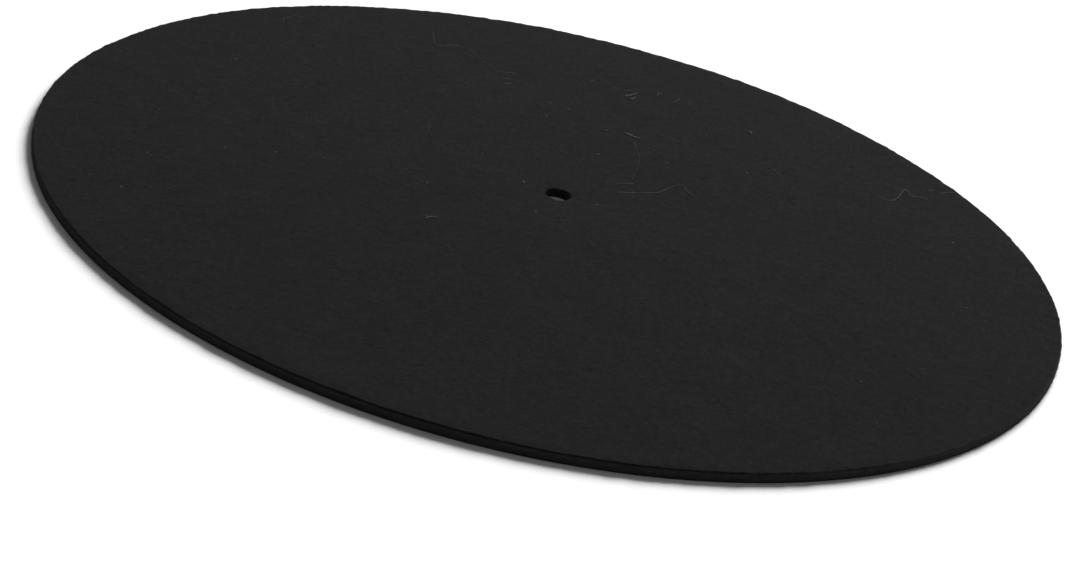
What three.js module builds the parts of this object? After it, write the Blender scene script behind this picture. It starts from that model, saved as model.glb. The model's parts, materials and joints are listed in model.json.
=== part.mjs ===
// A turntable platter mat: one disc of black felt, die-cut from flat sheet, with a hole for the spindle.
// Millimetres, +Z up. The origin is the centre of the spindle hole, on the face that lies on the platter.
import * as THREE from "three";

// Driving dimensions
const matDiameter = 295; // covers the platter under a 12-inch record
const feltThickness = 2.7;
const spindleDiameter = 7.2; // the standard spindle of a record player
const spindleClearance = 0.3; // on the diameter, so that the felt drops over the spindle freely
const pressedEdgeRadius = 0.7; // the die presses the upper edges round as it enters the felt
const cutEdgeRadius = 0.2; // where the die comes out, the lower edges stay nearly sharp

// Fineness of the curved faces
const segmentsRound = 144;
const segmentsPerEdge = 4;

const rimRadius = matDiameter / 2;
const holeRadius = (spindleDiameter + spindleClearance) / 2;

// One rounded edge of the section, as points from its first angle to its last.
function roundedEdge(centreX, centreY, radius, fromAngle, toAngle) {
  const edge = new THREE.EllipseCurve(centreX, centreY, radius, radius, fromAngle, toAngle);
  return edge.getPoints(segmentsPerEdge);
}

// The section of the felt between hole and rim: x is the distance from the spindle's axis, y the height.
// It runs outwards along the underside, up the rim, back along the top and down the hole's wall.
function feltSection() {
  const right = 0;
  const up = Math.PI / 2;
  const left = Math.PI;
  const down = 1.5 * Math.PI;
  const pressedY = feltThickness - pressedEdgeRadius;
  const section = [
    ...roundedEdge(rimRadius - cutEdgeRadius, cutEdgeRadius, cutEdgeRadius, -up, right),
    ...roundedEdge(rimRadius - pressedEdgeRadius, pressedY, pressedEdgeRadius, right, up),
    ...roundedEdge(holeRadius + pressedEdgeRadius, pressedY, pressedEdgeRadius, up, left),
    ...roundedEdge(holeRadius + cutEdgeRadius, cutEdgeRadius, cutEdgeRadius, left, down),
  ];
  const start = section[0];
  return [...section, start.clone()];
}

// The section turned once round the spindle's axis.
function feltDisc() {
  const disc = new THREE.LatheGeometry(feltSection(), segmentsRound);
  disc.rotateX(Math.PI / 2);
  return disc;
}

const blackFelt = new THREE.MeshStandardMaterial({
  color: 0x232323,
  roughness: 0.95,
  metalness: 0,
});

const feltMat = new THREE.Mesh(feltDisc(), blackFelt);
feltMat.name = "felt_mat";

const platterMat = new THREE.Group();
platterMat.add(feltMat);

export default platterMat;
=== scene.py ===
import json
import math
import random

import bmesh
import bpy
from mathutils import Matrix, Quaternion, Vector

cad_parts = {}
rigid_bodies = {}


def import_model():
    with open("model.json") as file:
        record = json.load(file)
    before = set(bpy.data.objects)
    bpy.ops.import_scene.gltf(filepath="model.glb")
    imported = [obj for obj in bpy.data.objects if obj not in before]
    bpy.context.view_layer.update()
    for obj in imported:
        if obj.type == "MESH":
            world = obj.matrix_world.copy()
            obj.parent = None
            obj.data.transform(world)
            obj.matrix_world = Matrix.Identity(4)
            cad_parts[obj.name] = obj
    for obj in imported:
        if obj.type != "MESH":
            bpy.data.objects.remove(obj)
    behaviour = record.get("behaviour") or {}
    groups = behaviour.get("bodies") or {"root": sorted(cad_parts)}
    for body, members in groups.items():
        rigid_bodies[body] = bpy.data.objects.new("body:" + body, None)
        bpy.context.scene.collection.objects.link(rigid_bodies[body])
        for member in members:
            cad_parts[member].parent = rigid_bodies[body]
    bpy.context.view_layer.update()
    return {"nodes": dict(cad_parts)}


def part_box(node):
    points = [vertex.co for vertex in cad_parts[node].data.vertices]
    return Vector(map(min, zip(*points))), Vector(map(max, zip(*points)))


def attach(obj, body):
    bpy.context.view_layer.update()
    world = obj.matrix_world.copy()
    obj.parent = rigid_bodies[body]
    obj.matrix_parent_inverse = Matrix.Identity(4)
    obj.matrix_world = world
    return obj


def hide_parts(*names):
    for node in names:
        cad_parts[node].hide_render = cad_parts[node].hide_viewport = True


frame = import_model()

mm = 0.001
fullTurn = 2 * math.pi
nearEnough = 0.01 * mm  # two heights or radii that differ by less count as the same

# the disc's own sizes, taken from the frame
cadMat = frame["nodes"]["felt_mat"]
lowCorner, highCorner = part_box("felt_mat")
rimRadius = (highCorner.x - lowCorner.x) / 2
holeRadius = min(corner.co.xy.length for corner in cadMat.data.vertices)
feltThickness = highCorner.z - lowCorner.z


# Helpers for picking and finishing pieces

def deselectAll():
    bpy.ops.object.select_all(action="DESELECT")


def makeActive(piece):
    deselectAll()
    piece.select_set(True)
    bpy.context.view_layer.objects.active = piece


def selectPlaces(piece, kind, wanted):  # kind is VERT, EDGE or FACE; piece is in edit mode
    bpy.ops.mesh.select_mode(type=kind)
    bpy.ops.mesh.select_all(action="DESELECT")
    shape = bmesh.from_edit_mesh(piece.data)
    parts = {"VERT": shape.verts, "EDGE": shape.edges, "FACE": shape.faces}[kind]
    for part in parts:
        if wanted(part):
            part.select_set(True)
    bmesh.update_edit_mesh(piece.data)


def edgeMiddle(edge):
    return (edge.verts[0].co + edge.verts[1].co) / 2


def mergeAndTurnOut(within):  # in edit mode: doubles become one, then every face points outwards
    bpy.ops.mesh.select_all(action="SELECT")
    bpy.ops.mesh.remove_doubles(threshold=within)
    bpy.ops.mesh.normals_make_consistent(inside=False)


def applyModifiers(piece):
    makeActive(piece)
    for modifier in list(piece.modifiers):
        bpy.ops.object.modifier_apply(modifier=modifier.name)


def wearMaterial(piece, *materials):
    piece.data.materials.clear()
    for material in materials:
        piece.data.materials.append(material)


def newMaterial(name):
    material = bpy.data.materials.new(name)
    material.use_nodes = True
    nodes = material.node_tree.nodes
    return material, nodes, material.node_tree.links, nodes["Principled BSDF"]


# Camera

camera = {
    "elevation": math.radians(22.48),  # above the mat's plane
    "distance": 593.3 * mm,  # from the spindle hole
    "aim": (-0.6 * mm, -66.9 * mm),  # the point of the felt at the middle of the frame
    "roll": math.radians(13.08),
    "lens": 69.63,
    "sensorWidth": 36,
    "sees": (0.01, 100),  # metres, from the nearest thing to the farthest
}


def makeCamera():
    across = camera["distance"] * math.cos(camera["elevation"])
    up = camera["distance"] * math.sin(camera["elevation"])
    place = Vector((0, -across, up + feltThickness))
    aim = Vector((*camera["aim"], feltThickness))
    upright = (aim - place).to_track_quat("-Z", "Y")
    bpy.ops.object.camera_add(location=place)
    shot = bpy.context.object
    shot.name = "camera"
    shot.rotation_mode = "QUATERNION"
    shot.rotation_quaternion = upright @ Quaternion((0, 0, 1), camera["roll"])
    shot.data.lens = camera["lens"]
    shot.data.sensor_width = camera["sensorWidth"]
    shot.data.clip_start, shot.data.clip_end = camera["sees"]
    bpy.context.scene.camera = shot


makeCamera()
print("camera placed")


# Light and floor

studio = {
    "floorSize": 200.0,
    "floorColour": (0.95, 0.95, 0.95, 1),
    "floorRoughness": 0.9,
    "roomLight": 0.12,  # what the pale room gives the scene
    "roomSeen": 1.0,  # how white it looks behind the floor
    "keyFrom": Vector((0.45, 1.20, 0.72)),  # low behind the mat, to the right
    "keyStrength": 5.75,
    "keySpread": math.radians(34),
    "softboxPlace": Vector((0.30, 1.10, 0.85)),
    "softboxSize": 0.9,
    "softboxPower": 6.5,
}


def lightRoom():
    room = bpy.data.worlds.new("paleRoom")
    bpy.context.scene.world = room
    room.use_nodes = True
    nodes = room.node_tree.nodes
    links = room.node_tree.links
    rays = nodes.new("ShaderNodeLightPath")
    strength = nodes.new("ShaderNodeMapRange")
    strength.inputs["To Min"].default_value = studio["roomLight"]
    strength.inputs["To Max"].default_value = studio["roomSeen"]
    links.new(rays.outputs["Is Camera Ray"], strength.inputs["Value"])
    links.new(strength.outputs["Result"], nodes["Background"].inputs["Strength"])
    nodes["Background"].inputs["Color"].default_value = (1, 1, 1, 1)


def aimLamp(lamp, place):
    lamp.rotation_mode = "QUATERNION"
    lamp.rotation_quaternion = (-place).to_track_quat("-Z", "Y")


def lightStudio():
    lightRoom()
    bpy.ops.object.light_add(type="SUN", location=studio["keyFrom"])
    key = bpy.context.object
    key.name = "key"
    key.data.energy = studio["keyStrength"]
    key.data.angle = studio["keySpread"]
    aimLamp(key, studio["keyFrom"])
    bpy.ops.object.light_add(type="AREA", location=studio["softboxPlace"])
    softbox = bpy.context.object
    softbox.name = "softbox"
    softbox.data.size = studio["softboxSize"]
    softbox.data.energy = studio["softboxPower"]
    aimLamp(softbox, studio["softboxPlace"])
    bpy.context.scene.view_settings.view_transform = "Standard"


def layFloor():
    bpy.ops.mesh.primitive_plane_add(size=studio["floorSize"], location=(0, 0, 0))
    floor = bpy.context.object
    floor.name = "floor"
    paint, nodes, links, surface = newMaterial("paleFloor")
    surface.inputs["Base Color"].default_value = studio["floorColour"]
    surface.inputs["Roughness"].default_value = studio["floorRoughness"]
    surface.inputs["Specular IOR Level"].default_value = 0
    wearMaterial(floor, paint)


lightStudio()
layFloor()
print("studio lit, floor laid")


# Felt: the way its fibres lie, shared by the face, the cut edge and the loose fibres

fibrePattern = {
    "swirl": {"scale": 130, "detail": 1, "reach": 5 * mm},  # fibres never run straight
    "lays": (12, 57, 102, 147),  # degrees, the ways the long fibres run across each other
    "stretch": 6,  # how many times longer than wide a fibre shows
    "apart": (0.37, 0.11, 0.05),  # shifts each lay by its own degrees, so that no two match
    "fibre": {"detail": 2, "roughness": 0.6, "bend": 0.6, "range": (0.45, 0.78)},
    "clump": {"detail": 4, "roughness": 0.62, "range": (0.30, 0.70)},
    "cloud": {"detail": 3, "roughness": 0.5, "range": (0.32, 0.68)},  # thicker and thinner places
    "clumpInColour": 0.38,
    "cloudInColour": 0.08,
    "clumpInHeight": 0.45,
}


def addNoise(nodes, links, place, scale, look):
    noise = nodes.new("ShaderNodeTexNoise")
    noise.inputs["Detail"].default_value = look["detail"]
    noise.inputs["Roughness"].default_value = look["roughness"]
    noise.inputs["Distortion"].default_value = look.get("bend", 0)
    links.new(place, noise.inputs["Vector"])
    links.new(scale, noise.inputs["Scale"])
    return noise.outputs["Fac"]


def addRange(nodes, links, value, look):
    spread = nodes.new("ShaderNodeMapRange")
    spread.inputs["From Min"].default_value = look["range"][0]
    spread.inputs["From Max"].default_value = look["range"][1]
    links.new(value, spread.inputs["Value"])
    return spread.outputs["Result"]


def addMix(nodes, links, first, second, share):
    mix = nodes.new("ShaderNodeMix")
    mix.inputs["Factor"].default_value = share
    links.new(first, mix.inputs["A"])
    links.new(second, mix.inputs["B"])
    return mix.outputs["Result"]


def addVectorMath(nodes, operation):
    step = nodes.new("ShaderNodeVectorMath")
    step.operation = operation
    return step


def addSwirl(nodes, links, place):  # the place each fibre is drawn at, moved about a little
    swirl = nodes.new("ShaderNodeTexNoise")
    swirl.inputs["Scale"].default_value = fibrePattern["swirl"]["scale"]
    swirl.inputs["Detail"].default_value = fibrePattern["swirl"]["detail"]
    links.new(place, swirl.inputs["Vector"])
    centred = addVectorMath(nodes, "SUBTRACT")
    centred.inputs[1].default_value = (0.5, 0.5, 0.5)
    links.new(swirl.outputs["Color"], centred.inputs[0])
    shift = addVectorMath(nodes, "SCALE")
    shift.inputs["Scale"].default_value = fibrePattern["swirl"]["reach"]
    links.new(centred.outputs["Vector"], shift.inputs[0])
    swirled = addVectorMath(nodes, "ADD")
    links.new(place, swirled.inputs[0])
    links.new(shift.outputs["Vector"], swirled.inputs[1])
    return swirled.outputs["Vector"]


def addLay(nodes, links, place, scale, turn):  # long thin fibres that all run one way
    lay = nodes.new("ShaderNodeMapping")
    stretch = fibrePattern["stretch"]
    lay.inputs["Rotation"].default_value = (0, 0, math.radians(turn))
    lay.inputs["Scale"].default_value = (1, stretch, stretch)
    lay.inputs["Location"].default_value = [turn * apart for apart in fibrePattern["apart"]]
    links.new(place, lay.inputs["Vector"])
    return addNoise(nodes, links, lay.outputs["Vector"], scale, fibrePattern["fibre"])


def pressedFibres():
    group = bpy.data.node_groups.new("pressedFibres", "ShaderNodeTree")
    face = group.interface
    face.new_socket("Vector", in_out="INPUT", socket_type="NodeSocketVector")
    face.new_socket("Fibre Scale", in_out="INPUT", socket_type="NodeSocketFloat")
    face.new_socket("Clump Scale", in_out="INPUT", socket_type="NodeSocketFloat")
    face.new_socket("Cloud Scale", in_out="INPUT", socket_type="NodeSocketFloat")
    face.new_socket("Shade", in_out="OUTPUT", socket_type="NodeSocketFloat")
    face.new_socket("Height", in_out="OUTPUT", socket_type="NodeSocketFloat")
    nodes = group.nodes
    links = group.links
    given = nodes.new("NodeGroupInput").outputs
    result = nodes.new("NodeGroupOutput").inputs

    swirled = addSwirl(nodes, links, given["Vector"])
    topFibre = None
    for turn in fibrePattern["lays"]:
        fibre = addLay(nodes, links, swirled, given["Fibre Scale"], turn)
        if topFibre is None:
            topFibre = fibre
        else:
            over = nodes.new("ShaderNodeMath")
            over.operation = "MAXIMUM"
            links.new(topFibre, over.inputs[0])
            links.new(fibre, over.inputs[1])
            topFibre = over.outputs["Value"]
    clump = addNoise(nodes, links, given["Vector"], given["Clump Scale"], fibrePattern["clump"])
    cloud = addNoise(nodes, links, given["Vector"], given["Cloud Scale"], fibrePattern["cloud"])

    fibres = addRange(nodes, links, topFibre, fibrePattern["fibre"])
    clumps = addRange(nodes, links, clump, fibrePattern["clump"])
    clouds = addRange(nodes, links, cloud, fibrePattern["cloud"])
    grain = addMix(nodes, links, fibres, clumps, fibrePattern["clumpInColour"])
    shade = addMix(nodes, links, grain, clouds, fibrePattern["cloudInColour"])
    height = addMix(nodes, links, fibres, clumps, fibrePattern["clumpInHeight"])
    links.new(shade, result["Shade"])
    links.new(height, result["Height"])
    return group


fibreGroup = pressedFibres()

feltSurface = {
    "roughness": (1.0, 0.86),  # from the dark places to the light ones
    "bumpStrength": 0.8,
    "paintedLightLipFade": (0.6 * mm, 0.1 * mm),  # below the top, where the cut wall's painted-light colour turns into the face's
}
feltFinish = {
    "face": {
        "dark": (0.0039, 0.0039, 0.0039, 1),
        "light": (0.0166, 0.0166, 0.0166, 1),
        "fibreScale": 1400,
        "clumpScale": 600,
        "cloudScale": 48,
        "bumpDepth": 0.16 * mm,
        "specular": 0.005,
        "sheen": 0.034,
        "sheenRoughness": 0.45,
    },
    # the cut wall's colours, about three times the face's, are painted light: they lighten the wall,
    # which sits in shade
    "cutEdge": {
        "dark": (0.0130, 0.0130, 0.0130, 1),
        "light": (0.0410, 0.0410, 0.0410, 1),
        "fibreScale": 1400,
        "clumpScale": 800,
        "cloudScale": 70,
        "bumpDepth": 0.22 * mm,
        "specular": 0.01,
        "sheen": 0.04,
        "sheenRoughness": 0.5,
    },
    "looseFibre": {
        "dark": (0.005, 0.005, 0.005, 1),
        "light": (0.018, 0.018, 0.018, 1),
        "fibreScale": 90,
        "clumpScale": 160,
        "cloudScale": 60,
        "bumpDepth": 0.01 * mm,
        "specular": 0.05,
        "sheen": 0.05,
        "sheenRoughness": 0.4,
    },
}


def newColourMix(nodes):  # hands over its share, its two colours and what comes out
    mix = nodes.new("ShaderNodeMix")
    mix.data_type = "RGBA"
    return mix.inputs[0], mix.inputs[6], mix.inputs[7], mix.outputs[2]


def fibreColour(nodes, links, fibres, finish):
    share, dark, light, colour = newColourMix(nodes)
    dark.default_value = finish["dark"]
    light.default_value = finish["light"]
    links.new(fibres.outputs["Shade"], share)
    return colour


# the lighter cut-wall colour is painted light; carried up the lip, it keeps the shaded lip from
# showing as a dark line
def fadeUpTo(faceColour, paintedLightWallColour, place, nodes, links):
    height = nodes.new("ShaderNodeSeparateXYZ")
    links.new(place.outputs["Object"], height.inputs["Vector"])
    fade = nodes.new("ShaderNodeMapRange")
    fade.interpolation_type = "SMOOTHSTEP"
    fade.inputs["From Min"].default_value = feltThickness - feltSurface["paintedLightLipFade"][0]
    fade.inputs["From Max"].default_value = feltThickness - feltSurface["paintedLightLipFade"][1]
    links.new(height.outputs["Z"], fade.inputs["Value"])
    share, below, above, colour = newColourMix(nodes)
    links.new(fade.outputs["Result"], share)
    links.new(paintedLightWallColour, below)
    links.new(faceColour, above)
    return colour


def addRoughness(nodes, links, value, surface, between):
    rough = nodes.new("ShaderNodeMapRange")
    rough.inputs["To Min"].default_value = between[0]
    rough.inputs["To Max"].default_value = between[1]
    links.new(value, rough.inputs["Value"])
    links.new(rough.outputs["Result"], surface.inputs["Roughness"])


def feltMaterial(name, finish, lip=None):
    material, nodes, links, surface = newMaterial(name)
    place = nodes.new("ShaderNodeTexCoord")
    fibres = nodes.new("ShaderNodeGroup")
    fibres.node_tree = fibreGroup
    fibres.inputs["Fibre Scale"].default_value = finish["fibreScale"]
    fibres.inputs["Clump Scale"].default_value = finish["clumpScale"]
    fibres.inputs["Cloud Scale"].default_value = finish["cloudScale"]
    links.new(place.outputs["Object"], fibres.inputs["Vector"])
    colour = fibreColour(nodes, links, fibres, finish)
    if lip:
        colour = fadeUpTo(fibreColour(nodes, links, fibres, lip), colour, place, nodes, links)
    links.new(colour, surface.inputs["Base Color"])
    addRoughness(nodes, links, fibres.outputs["Shade"], surface, feltSurface["roughness"])
    bump = nodes.new("ShaderNodeBump")
    bump.inputs["Strength"].default_value = feltSurface["bumpStrength"]
    bump.inputs["Distance"].default_value = finish["bumpDepth"]
    links.new(fibres.outputs["Height"], bump.inputs["Height"])
    links.new(bump.outputs["Normal"], surface.inputs["Normal"])
    surface.inputs["Specular IOR Level"].default_value = finish["specular"]
    surface.inputs["Sheen Weight"].default_value = finish["sheen"]
    surface.inputs["Sheen Roughness"].default_value = finish["sheenRoughness"]
    return material


feltFace = feltMaterial("feltFace", feltFinish["face"])
feltCutEdgePaintedLight = feltMaterial("feltCutEdgePaintedLight", feltFinish["cutEdge"], lip=feltFinish["face"])
looseFibre = feltMaterial("looseFibre", feltFinish["looseFibre"])
print("felt materials made")


# Felt disc

disc = {
    "pressedEdge": 0.7 * mm,  # the die rolls the upper lips over
    "cutEdge": 0.2 * mm,  # and leaves the lower ones nearly sharp
    "pressedSteps": 5,
    "cutSteps": 3,
    "ringsOnTop": 46,
    "ringsBelow": 10,
    "ringsOnWalls": 2,
    "stepsRound": 840,
    "mergeWithin": 0.002 * mm,
    "waves": {"size": 55 * mm, "depth": 0.55 * mm},  # the felt doesn't lie dead flat
    "lumps": {"size": 5 * mm, "depth": 0.09 * mm},
    "rag": {"size": 2.4 * mm, "depth": 0.48 * mm},  # unevenness of the cut edges
    "ragReach": (0.8 * mm, 1.6 * mm),  # full this far in from an edge, and gone this far in
    "ragFoot": 0.3,  # share of the thickness over which it grows from nothing, up from the floor
    "noiseDetail": 2,
}


def isAt(value, place):
    return abs(value - place) < nearEnough


def isWallEdge(edge):
    along = edgeMiddle(edge)
    return isAt(along.x, rimRadius) or isAt(along.x, holeRadius)


def cutSection():  # the felt's section between hole and rim, standing in the XZ plane
    middle = Vector(((rimRadius + holeRadius) / 2, 0, feltThickness / 2))
    bpy.ops.mesh.primitive_plane_add(size=1, location=middle, rotation=(math.pi / 2, 0, 0))
    felt = bpy.context.object
    felt.name = "felt"
    felt.scale = (rimRadius - holeRadius, feltThickness, 1)
    bpy.ops.object.transform_apply(location=True, rotation=True, scale=True)
    bpy.ops.object.mode_set(mode="EDIT")
    selectPlaces(felt, "VERT", lambda corner: isAt(corner.co.z, feltThickness))
    bpy.ops.mesh.bevel(offset=disc["pressedEdge"], segments=disc["pressedSteps"], affect="VERTICES")
    selectPlaces(felt, "VERT", lambda corner: isAt(corner.co.z, 0))
    bpy.ops.mesh.bevel(offset=disc["cutEdge"], segments=disc["cutSteps"], affect="VERTICES")
    bpy.ops.mesh.select_all(action="SELECT")
    bpy.ops.mesh.delete(type="ONLY_FACE")
    selectPlaces(felt, "EDGE", lambda edge: isAt(edgeMiddle(edge).z, feltThickness))
    bpy.ops.mesh.subdivide(number_cuts=disc["ringsOnTop"])
    selectPlaces(felt, "EDGE", lambda edge: isAt(edgeMiddle(edge).z, 0))
    bpy.ops.mesh.subdivide(number_cuts=disc["ringsBelow"])
    selectPlaces(felt, "EDGE", isWallEdge)
    bpy.ops.mesh.subdivide(number_cuts=disc["ringsOnWalls"])
    bpy.ops.object.mode_set(mode="OBJECT")
    return felt


def settleOrder(piece):  # spin lists its faces in another order each time, and scattering goes by it
    places = [corner.co.copy() for corner in piece.data.vertices]
    faces = []
    for face in piece.data.polygons:
        around = list(face.vertices)
        first = around.index(min(around))
        faces.append(around[first:] + around[:first])
    spun = piece.data
    piece.data = bpy.data.meshes.new(piece.name)
    piece.data.from_pydata(places, [], sorted(faces))
    bpy.data.meshes.remove(spun)


def spinSection(felt):
    makeActive(felt)
    bpy.ops.object.mode_set(mode="EDIT")
    bpy.ops.mesh.select_all(action="SELECT")
    bpy.ops.mesh.spin(
        steps=disc["stepsRound"], angle=fullTurn, center=(0, 0, 0), axis=(0, 0, 1))
    mergeAndTurnOut(disc["mergeWithin"])
    bpy.ops.object.mode_set(mode="OBJECT")
    settleOrder(felt)
    bpy.ops.object.shade_smooth()


def weightGroup(piece, name, weightAt):
    group = piece.vertex_groups.new(name=name)
    for corner in piece.data.vertices:
        group.add([corner.index], weightAt(corner.co), "REPLACE")
    return group.name


def addUnevenness(piece, name, noise, weights, direction):
    clouds = bpy.data.textures.new(name, type="CLOUDS")
    clouds.noise_scale = noise["size"]
    clouds.noise_depth = disc["noiseDetail"]
    push = piece.modifiers.new(name, "DISPLACE")
    push.texture = clouds
    push.texture_coords = "LOCAL"
    push.direction = direction
    push.strength = noise["depth"]
    push.mid_level = 0.5
    push.vertex_group = weights


def softStep(value, start, end):
    share = min(max((value - start) / (end - start), 0), 1)
    return share * share * (3 - 2 * share)


def topWeight(place):  # nothing moves on the underside, which lies on the floor
    return softStep(place.z, 0, feltThickness)


def edgeWeight(place):
    fromRim = rimRadius - place.xy.length
    fromHole = place.xy.length - holeRadius
    nearEdge = 1 - softStep(min(fromRim, fromHole), *disc["ragReach"])
    return nearEdge * softStep(place.z, 0, disc["ragFoot"] * feltThickness)


def modelFelt():
    felt = cutSection()
    spinSection(felt)
    top = weightGroup(felt, "top", topWeight)
    edges = weightGroup(felt, "edges", edgeWeight)
    addUnevenness(felt, "waves", disc["waves"], top, "Z")
    addUnevenness(felt, "lumps", disc["lumps"], top, "Z")
    addUnevenness(felt, "rag", disc["rag"], edges, "NORMAL")
    applyModifiers(felt)
    felt.vertex_groups.clear()
    wearMaterial(felt, feltFace, feltCutEdgePaintedLight)
    # faces near the rim and the hole get the cut-edge material, whose lighter colour is painted
    # light on the shaded walls and lips
    for face in felt.data.polygons:
        out = face.center.xy.length
        onEdge = out > rimRadius - disc["pressedEdge"] or out < holeRadius + disc["pressedEdge"]
        face.material_index = 1 if onEdge else 0
    return felt


felt = modelFelt()
print("felt disc modelled,", len(felt.data.polygons), "faces")


# Loose fibres: a few modelled, scattered over the felt

longNap = {  # fibres that have worked loose and lie on the face
    "shapes": 14,
    "joints": 4,
    "thickness": 0.03 * mm,
    "length": 2.4 * mm,
    "rise": 9,  # degrees, how steeply one leaves the felt
    "wander": 42,  # degrees to one side at each joint
    "droop": 8,  # degrees downwards at each joint
    "rootDepth": 0.04 * mm,
    "perSquareMetre": 52000,
    "sizes": (0.5, 1.4),  # each copy's size against the one modelled
    "lean": 6,  # degrees, at most, that a copy is tilted
    "seed": 4,
}
shortNap = {  # stubs that stand up between them
    "shapes": 10,
    "joints": 2,
    "thickness": 0.03 * mm,
    "length": 0.5 * mm,
    "rise": 32,
    "wander": 40,
    "droop": 18,
    "rootDepth": 0.04 * mm,
    "perSquareMetre": 190000,
    "sizes": (0.5, 1.4),
    "lean": 20,
    "seed": 7,
}
rimFuzz = {  # fibres that the die left standing out of the rim
    "shapes": 14,
    "joints": 3,
    "thickness": 0.04 * mm,
    "length": 0.6 * mm,
    "rise": 60,
    "wander": 45,
    "droop": 20,
    "rootDepth": 0.08 * mm,
    "perSquareMetre": 3800000,
    "sizes": (0.4, 1.4),
    "lean": 35,
    "seed": 11,
}
holeFuzz = dict(rimFuzz, length=0.5 * mm, perSquareMetre=12000000, seed=15)
fibreMake = {
    "sides": 3,
    "tip": 0.5,  # its thickness at the tip, as a share of that at the root
    "riseVaries": (0.6, 1.3),  # how far each one's rise, wander and droop may differ
    "wanderVaries": (0.3, 1.5),
    "droopVaries": (0.4, 1.6),
    "mergeWithin": 0.001 * mm,
    "clearOfFloor": 0.01 * mm,
}
feltSides = {
    "topFacesUp": 0.7,  # the normal of a face on the top rises more than this
    "wallFacesUp": 0.85,  # and that of a face on a wall less than this
    "wallReach": 1 * mm,  # from the edge that a wall's faces are looked for
}


def makeFibreSection():
    bpy.ops.curve.primitive_bezier_circle_add(radius=1)
    section = bpy.context.object
    section.name = "fibreSection"
    ring = section.data.splines[0]
    section.data.splines.remove(ring)
    ring = section.data.splines.new("POLY")
    ring.points.add(fibreMake["sides"] - 1)
    for step, point in enumerate(ring.points):
        angle = fullTurn * step / fibreMake["sides"]
        point.co = (0.5 * math.cos(angle), 0.5 * math.sin(angle), 0, 1)
    ring.use_cyclic_u = True
    return section


def fibrePath(fibre, dice):
    heading = 0.0
    rise = math.radians(fibre["rise"]) * dice.uniform(*fibreMake["riseVaries"])
    stride = fibre["length"] / fibre["joints"]
    place = Vector((0, 0, -fibre["rootDepth"]))
    path = [place.copy()]
    curl = math.radians(fibre["wander"]) * dice.choice((-1, 1))
    for joint in range(fibre["joints"]):
        along = math.cos(rise)
        step = Vector((along * math.cos(heading), along * math.sin(heading), math.sin(rise)))
        place += step * stride
        path.append(place.copy())
        heading += curl * dice.uniform(*fibreMake["wanderVaries"])
        rise -= math.radians(fibre["droop"]) * dice.uniform(*fibreMake["droopVaries"])
    return path


def modelStrand(name, path, thickness, section, tip):
    strand = bpy.data.curves.new(name, "CURVE")
    strand.dimensions = "3D"
    strand.bevel_mode = "OBJECT"
    strand.bevel_object = section
    strand.use_fill_caps = True
    line = strand.splines.new("POLY")
    line.points.add(len(path) - 1)
    for number, place in enumerate(path):
        line.points[number].co = (*place, 1)
        line.points[number].radius = thickness * (1 - (1 - tip) * number / (len(path) - 1))
    piece = bpy.data.objects.new(name, strand)
    bpy.context.scene.collection.objects.link(piece)
    makeActive(piece)
    bpy.ops.object.convert(target="MESH")
    bpy.ops.object.mode_set(mode="EDIT")
    mergeAndTurnOut(fibreMake["mergeWithin"])
    bpy.ops.object.mode_set(mode="OBJECT")
    return bpy.context.object


def newRandom(nodes, kind, seed):
    number = nodes.new("FunctionNodeRandomValue")
    number.data_type = kind
    number.inputs["Seed"].default_value = seed
    return number


def scatterTree(name, shapes, spread):
    tree = bpy.data.node_groups.new(name, "GeometryNodeTree")
    tree.interface.new_socket("Felt", in_out="INPUT", socket_type="NodeSocketGeometry")
    tree.interface.new_socket("Fibres", in_out="OUTPUT", socket_type="NodeSocketGeometry")
    nodes = tree.nodes
    links = tree.links
    given = nodes.new("NodeGroupInput")
    result = nodes.new("NodeGroupOutput")
    points = nodes.new("GeometryNodeDistributePointsOnFaces")
    points.inputs["Density"].default_value = spread["perSquareMetre"]
    points.inputs["Seed"].default_value = spread["seed"]
    links.new(given.outputs["Felt"], points.inputs["Mesh"])
    source = nodes.new("GeometryNodeCollectionInfo")
    source.inputs["Collection"].default_value = shapes
    source.inputs["Separate Children"].default_value = True
    lean = math.radians(spread["lean"])
    turn = newRandom(nodes, "FLOAT_VECTOR", spread["seed"] + 1)
    turn.inputs["Min"].default_value = (-lean, -lean, 0)
    turn.inputs["Max"].default_value = (lean, lean, fullTurn)
    planted = nodes.new("FunctionNodeRotateRotation")
    planted.rotation_space = "LOCAL"
    links.new(points.outputs["Rotation"], planted.inputs["Rotation"])
    links.new(turn.outputs["Value"], planted.inputs["Rotate By"])
    size = newRandom(nodes, "FLOAT", spread["seed"] + 2)
    size.inputs[2].default_value = spread["sizes"][0]  # the node's sockets for plain numbers
    size.inputs[3].default_value = spread["sizes"][1]
    which = newRandom(nodes, "INT", spread["seed"] + 3)
    which.inputs[4].default_value = 0  # and for whole ones
    which.inputs[5].default_value = spread["shapes"] - 1
    plant = nodes.new("GeometryNodeInstanceOnPoints")
    plant.inputs["Pick Instance"].default_value = True
    links.new(points.outputs["Points"], plant.inputs["Points"])
    links.new(source.outputs["Instances"], plant.inputs["Instance"])
    links.new(which.outputs[2], plant.inputs["Instance Index"])
    links.new(planted.outputs["Rotation"], plant.inputs["Rotation"])
    links.new(size.outputs[1], plant.inputs["Scale"])
    real = nodes.new("GeometryNodeRealizeInstances")
    links.new(plant.outputs["Instances"], real.inputs["Geometry"])
    links.new(real.outputs["Geometry"], result.inputs["Fibres"])
    return tree


def dropBuriedFibres(loose):  # none reaches down through the floor
    makeActive(loose)
    bpy.ops.object.mode_set(mode="EDIT")
    selectPlaces(loose, "VERT", lambda corner: corner.co.z < fibreMake["clearOfFloor"])
    bpy.ops.mesh.select_linked()
    bpy.ops.mesh.delete(type="VERT")
    bpy.ops.object.mode_set(mode="OBJECT")


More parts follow.
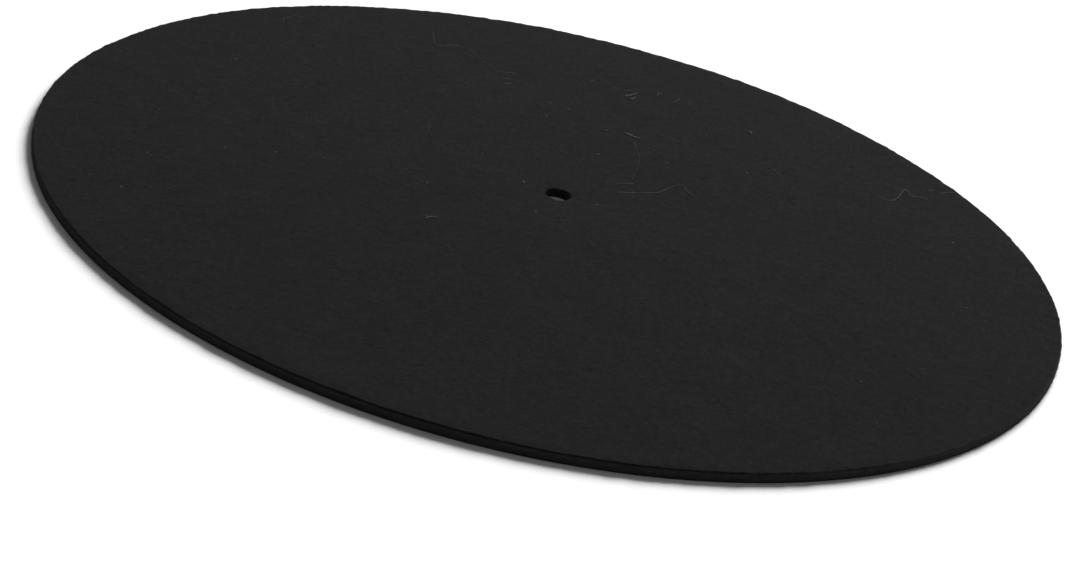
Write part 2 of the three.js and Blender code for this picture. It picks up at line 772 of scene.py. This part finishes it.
def scatterFibres(name, felt, spread, section, wanted):
    dice = random.Random(spread["seed"])
    shapes = bpy.data.collections.new(name + "Shapes")
    for number in range(spread["shapes"]):
        path = fibrePath(spread, dice)
        strand = modelStrand(
            f"{name}{number:02d}", path, spread["thickness"], section, fibreMake["tip"])
        bpy.context.scene.collection.objects.unlink(strand)
        shapes.objects.link(strand)
    carrier = felt.copy()
    carrier.data = felt.data.copy()
    carrier.name = name
    bpy.context.scene.collection.objects.link(carrier)
    makeActive(carrier)
    bpy.ops.object.mode_set(mode="EDIT")
    selectPlaces(carrier, "FACE", lambda face: not wanted(face))
    bpy.ops.mesh.delete(type="FACE")
    bpy.ops.object.mode_set(mode="OBJECT")
    spreader = carrier.modifiers.new(name, "NODES")
    spreader.node_group = scatterTree(name, shapes, spread)
    applyModifiers(carrier)
    for strand in list(shapes.objects):
        bpy.data.objects.remove(strand)
    bpy.data.collections.remove(shapes)
    dropBuriedFibres(carrier)
    wearMaterial(carrier, looseFibre)
    print(name, "scattered,", len(carrier.data.polygons), "faces")
    return carrier


def isFeltTop(face):
    up = face.normal.z > feltSides["topFacesUp"]
    return up and face.calc_center_median().z > feltThickness / 2


def isRimWall(face):
    out = face.calc_center_median().xy.length
    return face.normal.z < feltSides["wallFacesUp"] and out > rimRadius - feltSides["wallReach"]


def isHoleWall(face):
    out = face.calc_center_median().xy.length
    return face.normal.z < feltSides["wallFacesUp"] and out < holeRadius + feltSides["wallReach"]


fibreSection = makeFibreSection()
looseFibres = [
    scatterFibres("nap_long", felt, longNap, fibreSection, isFeltTop),
    scatterFibres("nap_short", felt, shortNap, fibreSection, isFeltTop),
    scatterFibres("rim_fuzz", felt, rimFuzz, fibreSection, isRimWall),
    scatterFibres("hole_fuzz", felt, holeFuzz, fibreSection, isHoleWall),
]


# Lint: pale hairs and crumbs caught on the nap

lint = {
    "lift": 0.16 * mm,  # the nap holds a hair this far off the felt
    "liftVaries": (0.6, 1.4),
    "stepsToNext": 5,  # from one listed point of a hair to the next
    "hairTip": 0.7,
    "wispTip": 0.4,
    "hairDark": (0.040, 0.040, 0.040, 1),
    "hairLight": (0.118, 0.118, 0.118, 1),
    "crumbDark": (0.024, 0.024, 0.024, 1),
    "crumbLight": (0.056, 0.056, 0.056, 1),
    "patchScale": 300,
    "patchDetail": 2,
    "patchRange": (0.35, 0.65),
    "roughness": (0.9, 0.7),
    "specular": 0.12,
    "crumbs": 260,
    "crumbWidths": (0.14 * mm, 0.38 * mm),
    "crumbLift": 0.04,  # the rest of a crumb's shape as shares of its width
    "crumbDepth": (0.5, 0.9),
    "crumbHeight": (0.16, 0.28),
    "crumbTilt": 0.12,
    "crumbReach": 0.985 * rimRadius,
    "clearMiddle": 0.01,  # share of that area, round the hole, where none is scattered
    "seed": 23,
}
hairs = [  # each hair's thickness, then where it lies, in millimetres from the spindle hole
    (0.08, [(-52, 110.5), (-53.3, 113), (-50.6, 102), (-48, 102.7), (-45.3, 105.7), (-42.2, 105.3),
            (-39.4, 104.7), (-34.4, 97.7), (-31.3, 94.7), (-28.5, 90.5), (-23.3, 92)]),
    (0.11, [(16.8, 11.3), (20.6, 13), (25, 15.5), (28.8, 18.2), (32.5, 24.8), (35.4, 27.9),
            (37.1, 25.2), (39, 22.8), (40.8, 21.5)]),
    (0.07, [(19.7, 54.4), (21.6, 44.3), (22, 40.3), (21.6, 32.5), (20.4, 21.8)]),
    (0.15, [(16, 17), (18.5, 19.2), (21, 20.5)]),
    (0.15, [(98.5, 56.5), (101, 55.5), (104, 59.5), (107, 68.5), (109, 64.5), (114, 65)]),
    (0.13, [(114.9, 72.3), (117.3, 73.8), (118.8, 72.1), (121, 74.7), (124.2, 76.4)]),
    (0.07, [(-99.5, 87), (-100.5, 92), (-99, 96), (-97, 100)]),
    (0.09, [(8.4, 97), (9.9, 99.4), (11.9, 100.7), (14.5, 99.8)]),
    (0.07, [(38.4, 77.6), (40.4, 77.9), (42, 77.2), (43.1, 74.2)]),
    (0.07, [(-42.9, 32.9), (-42.3, 28), (-41.7, 23.2)]),
]
wisps = [  # short and thick, listed as the hairs are
    (0.38, [(14.3, 94.6), (15.9, 96.2), (17.1, 98.5), (18.7, 100.8)]),
    (0.34, [(14.3, 94.6), (15.4, 92.9), (16.4, 92.9), (17.6, 95.4)]),
    (0.22, [(14.3, 99.6), (15.6, 101), (17, 101)]),
    (0.42, [(16.3, 60.1), (17.6, 60.3), (18.9, 59.3), (21.2, 59.6)]),
    (0.15, [(24.9, 102.9), (25.6, 105.9), (26.5, 104)]),
    (0.18, [(30.3, 99.6), (31.6, 102), (32.5, 105.6)]),
    (0.22, [(35.6, 104.7), (35.7, 102.2), (36.1, 100)]),
    (0.26, [(-25.5, 84.5), (-24.4, 85.6), (-23.3, 86)]),
    (0.22, [(-24.9, 79.9), (-22.5, 81.6)]),
    (0.38, [(56, 88.5), (57, 87), (56.5, 85.5)]),
    (0.30, [(64, 59), (65, 57), (66, 56)]),
    (0.24, [(9.5, 58.8), (10.9, 59.7)]),
    (0.30, [(-33.5, -38.5), (-32, -36.5), (-30, -36)]),
]
specks = [  # crumbs that show from a step away: place and width, in millimetres
    (-23, 92, 0.9), (36, 101, 0.9), (9, 37.5, 1.2), (-3, 70.5, 1.2), (-9, 72.5, 0.9),
    (11.5, -1.5, 1.2), (-5, -16.5, 1.1), (-10.5, 3, 1.2), (86, -75.5, 0.7), (82, -51.5, 0.8),
    (119, -14, 1.2), (-111, -37.5, 1.0), (-93, -22, 1.0), (-111, -62.5, 0.9), (38, 54, 0.9),
    (32.5, 109, 0.8), (2.5, 102, 1.1), (30, -23.5, 0.8), (69.5, 62.5, 0.9), (-33.5, -36.5, 1.0),
    (119.5, 33, 1.0), (132, 5, 1.3), (123.5, 24, 1.1), (62.5, 36.5, 1.3), (55.5, 51, 1.0),
    (30.5, 44, 1.0), (-9, 60, 1.1), (-22, 70, 1.1), (-42.5, 62.5, 1.0), (-24.5, 16.5, 1.1),
    (-36.5, -14, 1.1), (-66.5, -14, 1.1), (-79.5, -17, 0.9), (-116, -6.5, 1.1), (-106, 47, 1.1),
]


def onFelt(x, y, lift):  # the place that far above the felt's top
    place = felt.ray_cast(Vector((x, y, 1)), Vector((0, 0, -1)))[1]
    return place + Vector((0, 0, lift))


def softPath(points, dice):  # a smooth line through the points, resting on the nap
    path = []
    for number in range(len(points) - 1):
        before = Vector(points[max(number - 1, 0)])
        start = Vector(points[number])
        end = Vector(points[number + 1])
        after = Vector(points[min(number + 2, len(points) - 1)])
        for step in range(lint["stepsToNext"]):
            t = step / lint["stepsToNext"]
            bend = (2 * start + (end - before) * t
                    + (2 * before - 5 * start + 4 * end - after) * t ** 2
                    + (3 * start - before - 3 * end + after) * t ** 3) / 2
            lift = lint["lift"] * dice.uniform(*lint["liftVaries"])
            path.append(onFelt(bend.x * mm, bend.y * mm, lift))
    path.append(onFelt(points[-1][0] * mm, points[-1][1] * mm, lint["lift"]))
    return path


def joinPieces(name, parts):
    deselectAll()
    for part in parts:
        part.select_set(True)
    bpy.context.view_layer.objects.active = parts[0]
    bpy.ops.object.join()
    joined = bpy.context.object
    joined.name = name
    return joined


def layHairs(section):
    dice = random.Random(lint["seed"])
    parts = []
    for name, strands, tip in (("hair", hairs, lint["hairTip"]), ("wisp", wisps, lint["wispTip"])):
        for thickness, points in strands:
            parts.append(modelStrand(name, softPath(points, dice), thickness * mm, section, tip))
    return joinPieces("lint_hairs", parts)


def dropCrumb(x, y, width, dice):  # a crumb is a low flake, sunk a little into the nap
    place = onFelt(x, y, lint["crumbLift"] * width)
    tilt = lint["crumbTilt"]
    turn = (dice.uniform(-tilt, tilt), dice.uniform(-tilt, tilt), dice.uniform(0, fullTurn))
    bpy.ops.mesh.primitive_ico_sphere_add(
        subdivisions=1, radius=width / 2, location=place, rotation=turn)
    crumb = bpy.context.object
    crumb.scale = (1, dice.uniform(*lint["crumbDepth"]), dice.uniform(*lint["crumbHeight"]))
    bpy.ops.object.transform_apply(location=True, rotation=True, scale=True)
    return crumb


def scatterCrumbs():
    dice = random.Random(lint["seed"] + 1)
    parts = [dropCrumb(x * mm, y * mm, width * mm, dice) for x, y, width in specks]
    for number in range(lint["crumbs"]):
        out = lint["crumbReach"] * math.sqrt(dice.uniform(lint["clearMiddle"], 1))
        angle = dice.uniform(0, fullTurn)
        width = dice.uniform(*lint["crumbWidths"])
        parts.append(dropCrumb(out * math.cos(angle), out * math.sin(angle), width, dice))
    return joinPieces("lint_crumbs", parts)


def lintMaterial(name, dark, light):
    material, nodes, links, surface = newMaterial(name)
    place = nodes.new("ShaderNodeTexCoord")
    patches = nodes.new("ShaderNodeTexNoise")
    patches.inputs["Scale"].default_value = lint["patchScale"]
    patches.inputs["Detail"].default_value = lint["patchDetail"]
    links.new(place.outputs["Object"], patches.inputs["Vector"])
    colour = nodes.new("ShaderNodeValToRGB")
    ends = zip(colour.color_ramp.elements, lint["patchRange"], (dark, light))
    for end, position, shade in ends:
        end.position = position
        end.color = shade
    links.new(patches.outputs["Fac"], colour.inputs["Fac"])
    links.new(colour.outputs["Color"], surface.inputs["Base Color"])
    addRoughness(nodes, links, patches.outputs["Fac"], surface, lint["roughness"])
    surface.inputs["Specular IOR Level"].default_value = lint["specular"]
    return material


lintPieces = [layHairs(fibreSection), scatterCrumbs()]
wearMaterial(lintPieces[0], lintMaterial("paleHair", lint["hairDark"], lint["hairLight"]))
wearMaterial(lintPieces[1], lintMaterial("paleCrumb", lint["crumbDark"], lint["crumbLight"]))
bpy.data.objects.remove(fibreSection)
print("lint laid on the nap")


# Where each piece belongs

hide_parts("felt_mat")
for piece in (felt, *looseFibres, *lintPieces):
    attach(piece, "root")
